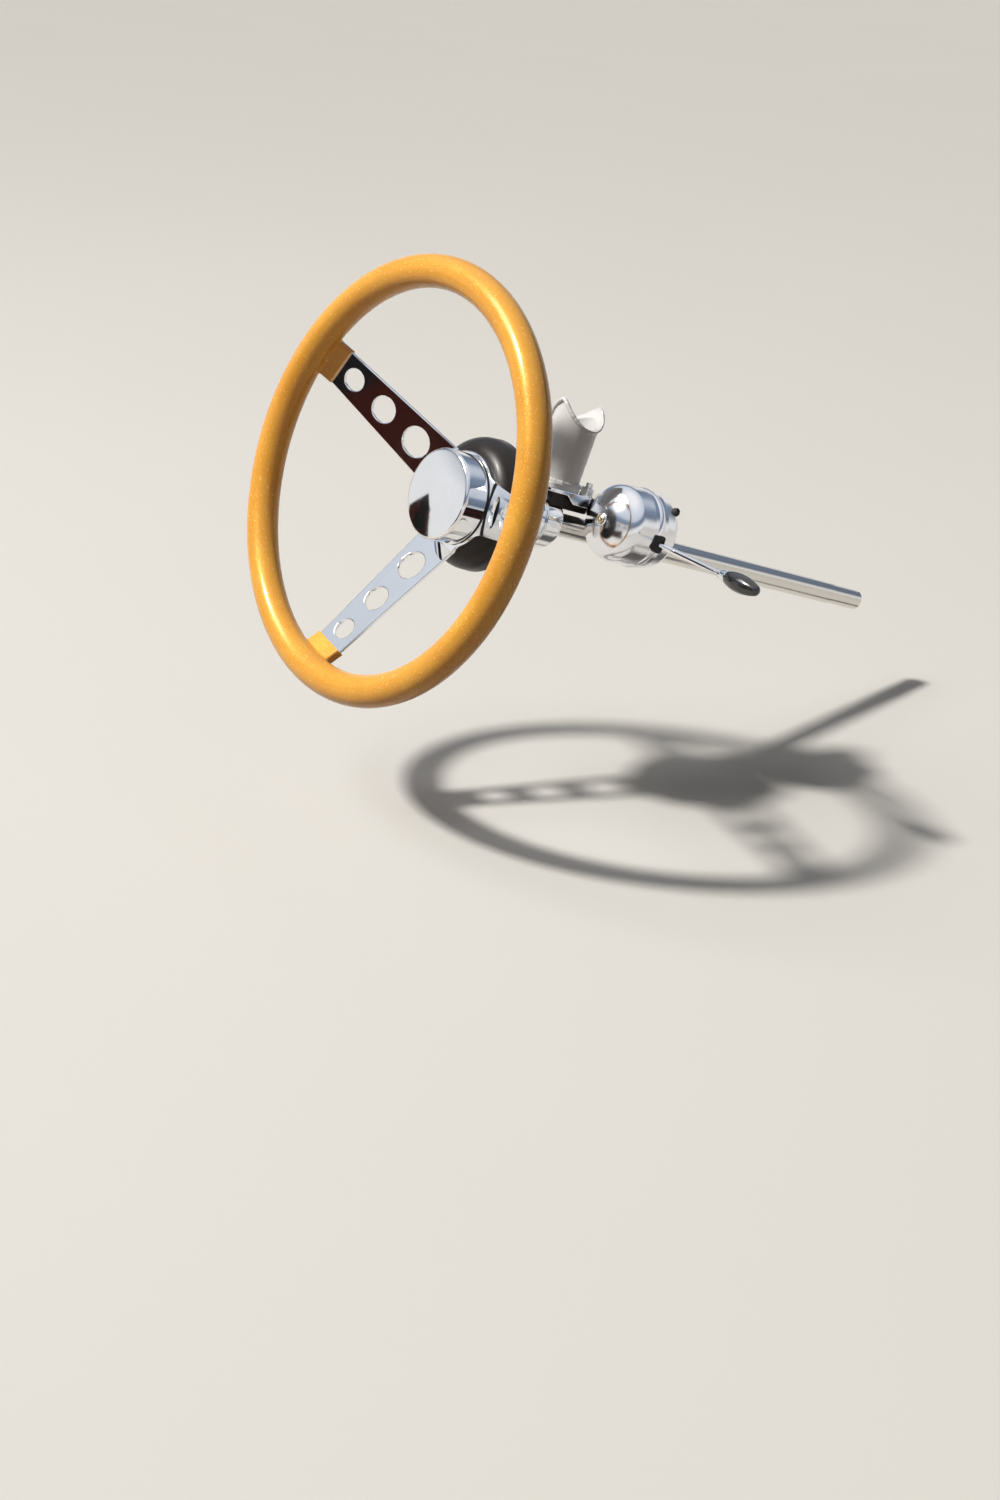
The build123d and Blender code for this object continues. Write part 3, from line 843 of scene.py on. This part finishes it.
# Masks from the kind of ray: the camera's, a mirror's or glass's, and either
def seenMasks(tree):
    rays = addNode(tree, "ShaderNodeLightPath")
    mirrored = mathNode(tree, "MAXIMUM", rays.outputs["Is Glossy Ray"], rays.outputs["Is Transmission Ray"])
    either = mathNode(tree, "MAXIMUM", mirrored, rays.outputs["Is Camera Ray"])
    return rays.outputs["Is Camera Ray"], mirrored, either


def stageMesh(name, corners, material):
    mesh = bpy.data.meshes.new(name)
    mesh.from_pydata(corners, [], [tuple(range(len(corners)))])
    mesh.materials.append(material)
    piece = bpy.data.objects.new(name, mesh)
    bpy.context.collection.objects.link(piece)
    return piece


def makeFloorMaterial(look):
    material, tree, shader = newMaterial("pale floor")
    cloud = objectNode(tree, "ShaderNodeTexNoise", Scale=look["patchSize"], Detail=4.0)
    darker = tuple(channel * look["floorPatch"] for channel in look["floorColor"])
    pale = mixColors(tree, cloud.outputs["Fac"], look["floorColor"], darker)
    seen = seenMasks(tree)[2]
    tree.links.new(mixColors(tree, seen, look["floorBounce"], pale), shader.inputs["Base Color"])
    shader.inputs["Roughness"].default_value = look["floorRough"]
    shader.inputs["Specular IOR Level"].default_value = look["floorShine"]
    return material


def buildStage(look):
    half = look["floorHalf"]
    level = cadBox[0][2] - look["floorDrop"]
    corners = [(-half, -half, level), (half, -half, level), (half, half, level), (-half, half, level)]
    floor = stageMesh("floor", corners, makeFloorMaterial(look))
    world = bpy.data.worlds.new("studio")
    bpy.context.scene.world = world
    world.use_nodes = True
    tree = world.node_tree
    background = tree.nodes["Background"]
    direct, mirrored, either = seenMasks(tree)
    strength = addNode(tree, "ShaderNodeMapRange", To_Min=look["worldLight"], To_Max=1.0)
    tree.links.new(either, strength.inputs["Value"])
    tree.links.new(strength.outputs["Result"], background.inputs["Strength"])
    coords = addNode(tree, "ShaderNodeTexCoord")
    split = addNode(tree, "ShaderNodeSeparateXYZ")
    tree.links.new(coords.outputs["Generated"], split.inputs[0])
    walls = rampNode(tree, split.outputs["Z"], look["walls"])
    walls.color_ramp.interpolation = "EASE"
    plain = mixColors(tree, direct, look["worldColor"], look["backdrop"])
    shown = mixColors(tree, mirrored, plain, walls.outputs["Color"])
    tree.links.new(shown, background.inputs["Color"])


# Dark cards beside the stage, seen only in the polished pieces
cardLook = {
    "panels": {
        "wideCard": [(-0.95, -1.95, -0.30), (0.35, -1.95, -0.30), (0.35, -1.95, 0.28), (-0.95, -1.95, 0.28)],
        "peakedCard": [
            (-1.3, -0.93, -0.30), (-1.3, -1.40, -0.30), (-1.3, -1.30, -0.08), (-1.3, -1.21, 0.035),
            (-1.3, -1.12, 0.085), (-1.3, -0.95, -0.05),
        ],
    },
    "dark": (0.008, 0.008, 0.009), "warm": (0.13, 0.028, 0.018), "darkUpTo": 0.44, "warmFrom": 0.56,
    "cloudSize": 9.0, "rough": 0.9,
}


def buildCards(look):
    material, tree, shader = newMaterial("dark card")
    cloud = objectNode(tree, "ShaderNodeTexNoise", Scale=look["cloudSize"], Detail=2.0)
    stops = [(look["darkUpTo"], look["dark"]), (look["warmFrom"], look["warm"])]
    stains = rampNode(tree, cloud.outputs["Fac"], stops)
    tree.links.new(stains.outputs["Color"], shader.inputs["Base Color"])
    shader.inputs["Roughness"].default_value = look["rough"]
    for name, corners in look["panels"].items():
        card = stageMesh(name, corners, material)
        card.visible_camera = False
        card.visible_diffuse = False
        card.visible_shadow = False


# Camera at the photograph's viewing angle: its place, the picture's right and up, and its lens in mm
cameraLook = {
    "place": (1.2392, -1.02595, 0.44475), "right": (0.58947, 0.80505, 0.0664),
    "up": (-0.37858, 0.20271, 0.9031), "lens": 50.0, "sensor": 36.0, "near": 0.01, "far": 60,
}


def buildCamera(look):
    data = bpy.data.cameras.new("camera")
    data.sensor_fit = "AUTO"
    data.sensor_width = look["sensor"]
    data.lens = look["lens"]
    data.clip_start = look["near"]
    data.clip_end = look["far"]
    camera = bpy.data.objects.new("camera", data)
    bpy.context.collection.objects.link(camera)
    right = Vector(look["right"]).normalized()
    up = Vector(look["up"])
    up = (up - right * up.dot(right)).normalized()
    basis = Matrix((right, up, right.cross(up))).transposed().to_4x4()
    camera.matrix_world = Matrix.Translation(Vector(look["place"])) @ basis
    bpy.context.scene.camera = camera


# A sun from high behind the camera's left, with its spread in degrees, and a softbox beside it
lampLook = {
    "sun": {"toward": (-0.31, -0.58, 0.75), "spread": 5.0, "power": 3.4, "color": (1.0, 0.955, 0.88)},
    "softbox": {"from": (-1.05, -1.6, 2.1), "side": 1.15, "power": 27.0, "color": (0.99, 0.995, 1.0)},
}


def addLamp(name, kind, look):
    data = bpy.data.lights.new(name, kind)
    data.energy = look["power"]
    data.color = look["color"]
    lamp = bpy.data.objects.new(name, data)
    bpy.context.collection.objects.link(lamp)
    lamp.rotation_mode = "QUATERNION"
    return lamp


def buildLamps(look):
    sun = addLamp("sun", "SUN", look["sun"])
    sun.data.angle = math.radians(look["sun"]["spread"])
    sun.rotation_quaternion = Vector(look["sun"]["toward"]).to_track_quat("Z", "Y")
    softbox = addLamp("softbox", "AREA", look["softbox"])
    softbox.data.shape = "SQUARE"
    softbox.data.size = look["softbox"]["side"]
    softbox.location = Vector(look["softbox"]["from"])
    softbox.rotation_quaternion = (rimMiddle - softbox.location).to_track_quat("-Z", "Y")


buildStage(stageLook)
buildCards(cardLook)
buildCamera(cameraLook)
buildLamps(lampLook)
bpy.context.scene.view_settings.view_transform = "Standard"
print("stage, camera and lamps set")
